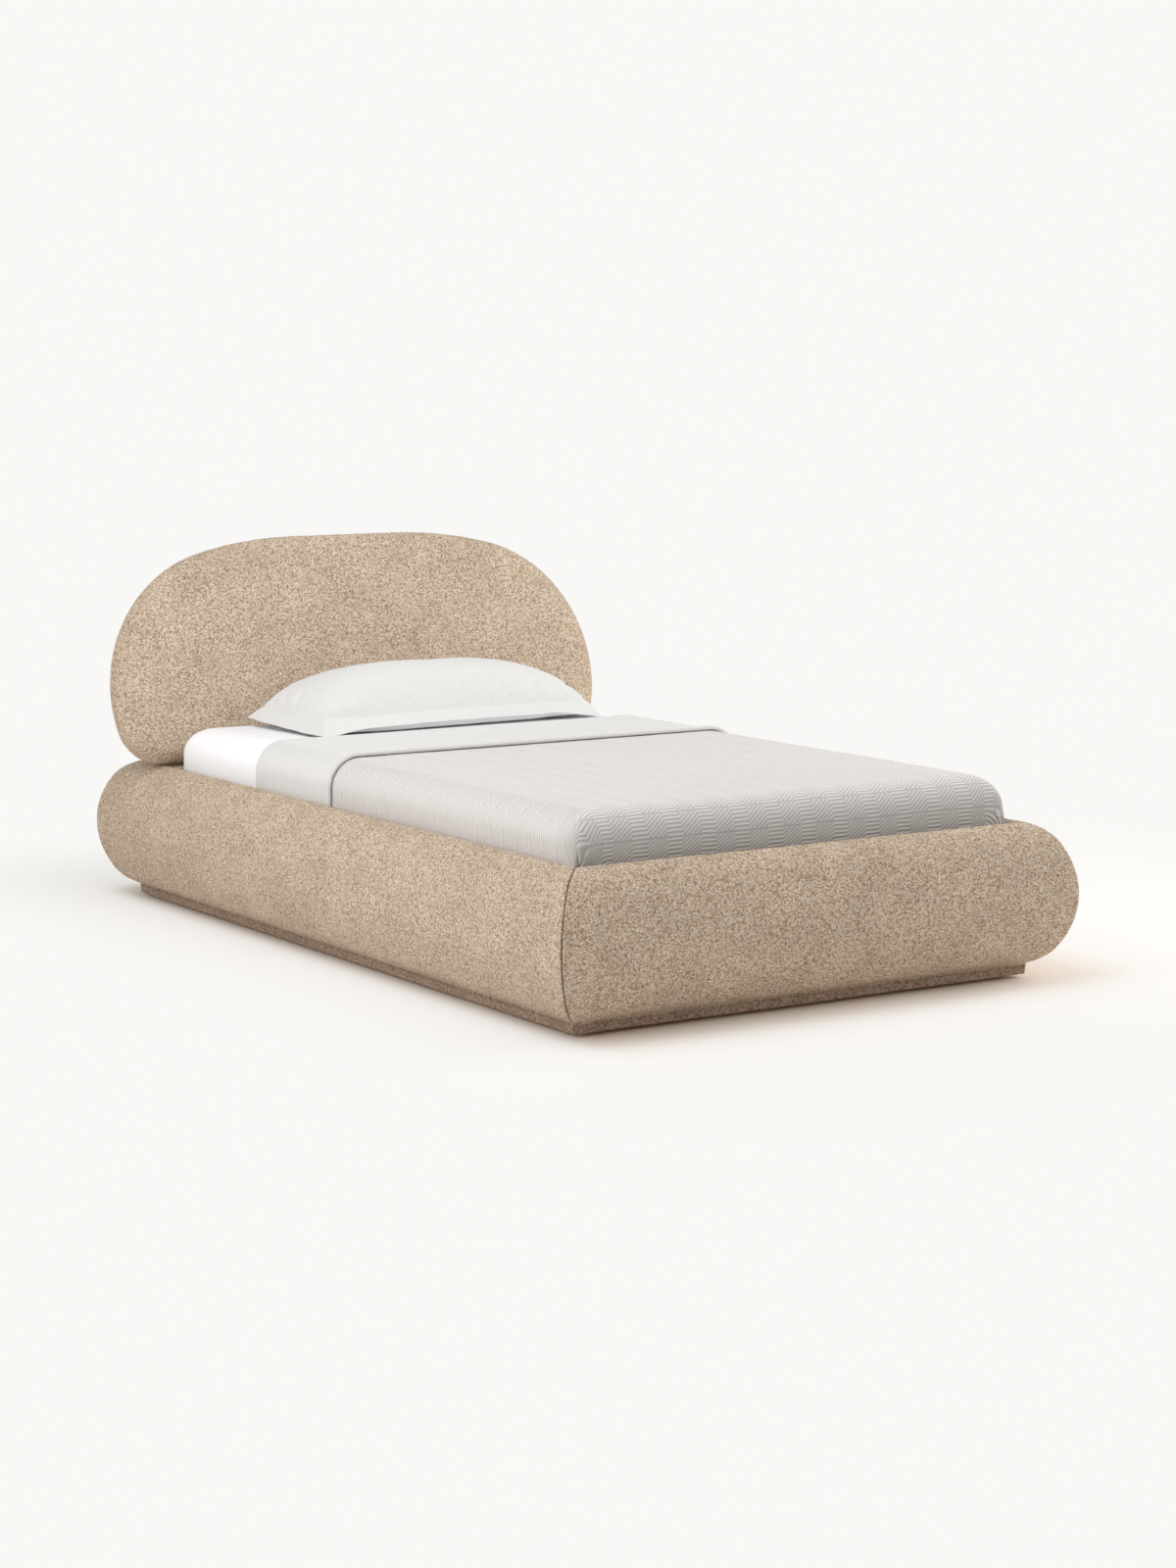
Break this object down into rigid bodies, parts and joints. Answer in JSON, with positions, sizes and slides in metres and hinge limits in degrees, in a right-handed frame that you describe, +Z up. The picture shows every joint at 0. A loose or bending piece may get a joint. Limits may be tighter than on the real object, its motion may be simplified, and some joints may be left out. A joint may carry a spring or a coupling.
{
  "type": "single bed",
  "caption": "Upholstered single bed with bulging D-shaped rails, a leaning oval headboard, slats, mattress, coverlet and pillow.",
  "frame": {"origin": "on the floor under the middle of the bed, at the centre of its footprint", "axes": "+X across the bed to the right seen from its foot, +Y from the foot to the head, +Z up"},
  "size_m": [1.52, 2.4, 0.9751],
  "materials": {
    "boucle": "flecked beige boucle",
    "foam": "open-cell upholstery foam",
    "plywood": "raw birch plywood",
    "pine": "planed pine",
    "beech": "planed beech",
    "bracket_steel": "black powder coat",
    "zinc_plate": "zinc plated",
    "black_plastic": "moulded",
    "mattress_ticking": "knitted ticking",
    "white_cotton": "plain woven cotton",
    "greige_coverlet": "ribbed matelasse",
    "pillow_filling": "down-proof cotton",
    "pillow_cotton": "washed cotton"
  },
  "bodies": {
    "frame": {"beam_hangers": "bracket_steel", "centre_beam": "pine", "centre_legs": "pine", "corner_bracket_foot_left": "bracket_steel", "corner_bracket_foot_right": "bracket_steel", "corner_bracket_head_left": "bracket_steel", "corner_bracket_head_right": "bracket_steel", "frame_bolts": "zinc_plate", "glides": "black_plastic", "head_cross_board": "plywood", "head_deck": "plywood", "head_deck_cover": "boucle", "headboard_core": "plywood", "headboard_cover_back": "boucle", "headboard_cover_front": "boucle", "headboard_foam": "foam", "headboard_leg_left": "beech", "headboard_leg_right": "beech", "ledge_screws": "zinc_plate", "plinth_batten_foot": "pine", "plinth_batten_head": "pine", "plinth_batten_left": "pine", "plinth_batten_right": "pine", "plinth_cover_foot": "boucle", "plinth_cover_head": "boucle", "plinth_cover_left": "boucle", "plinth_cover_right": "boucle", "rail_board_foot": "plywood", "rail_board_head": "plywood", "rail_board_left": "plywood", "rail_board_right": "plywood", "rail_cover_foot": "boucle", "rail_cover_head": "boucle", "rail_cover_left": "boucle", "rail_cover_right": "boucle", "rail_foam_foot": "foam", "rail_foam_head": "foam", "rail_foam_left": "foam", "rail_foam_right": "foam", "slat_01": "beech", "slat_02": "beech", "slat_03": "beech", "slat_04": "beech", "slat_05": "beech", "slat_06": "beech", "slat_07": "beech", "slat_08": "beech", "slat_09": "beech", "slat_10": "beech", "slat_11": "beech", "slat_12": "beech", "slat_holders": "black_plastic", "slat_ledge_left": "pine", "slat_ledge_right": "pine", "slat_pads": "black_plastic"},
    "bedding": {"mattress": "mattress_ticking", "fitted_sheet": "white_cotton", "coverlet": "greige_coverlet"},
    "pillow": {"pillow_filling": "pillow_filling", "pillowcase": "pillow_cotton"}
  },
  "joints": [
    {"name": "mattress_lift", "type": "slide", "parent": "frame", "child": "bedding", "axis": [0, 0, 1], "range_m": [0, 0.3]},
    {"name": "pillow_lift", "type": "slide", "parent": "bedding", "child": "pillow", "axis": [0, 0, 1], "range_m": [0, 0.25]}
  ]
}
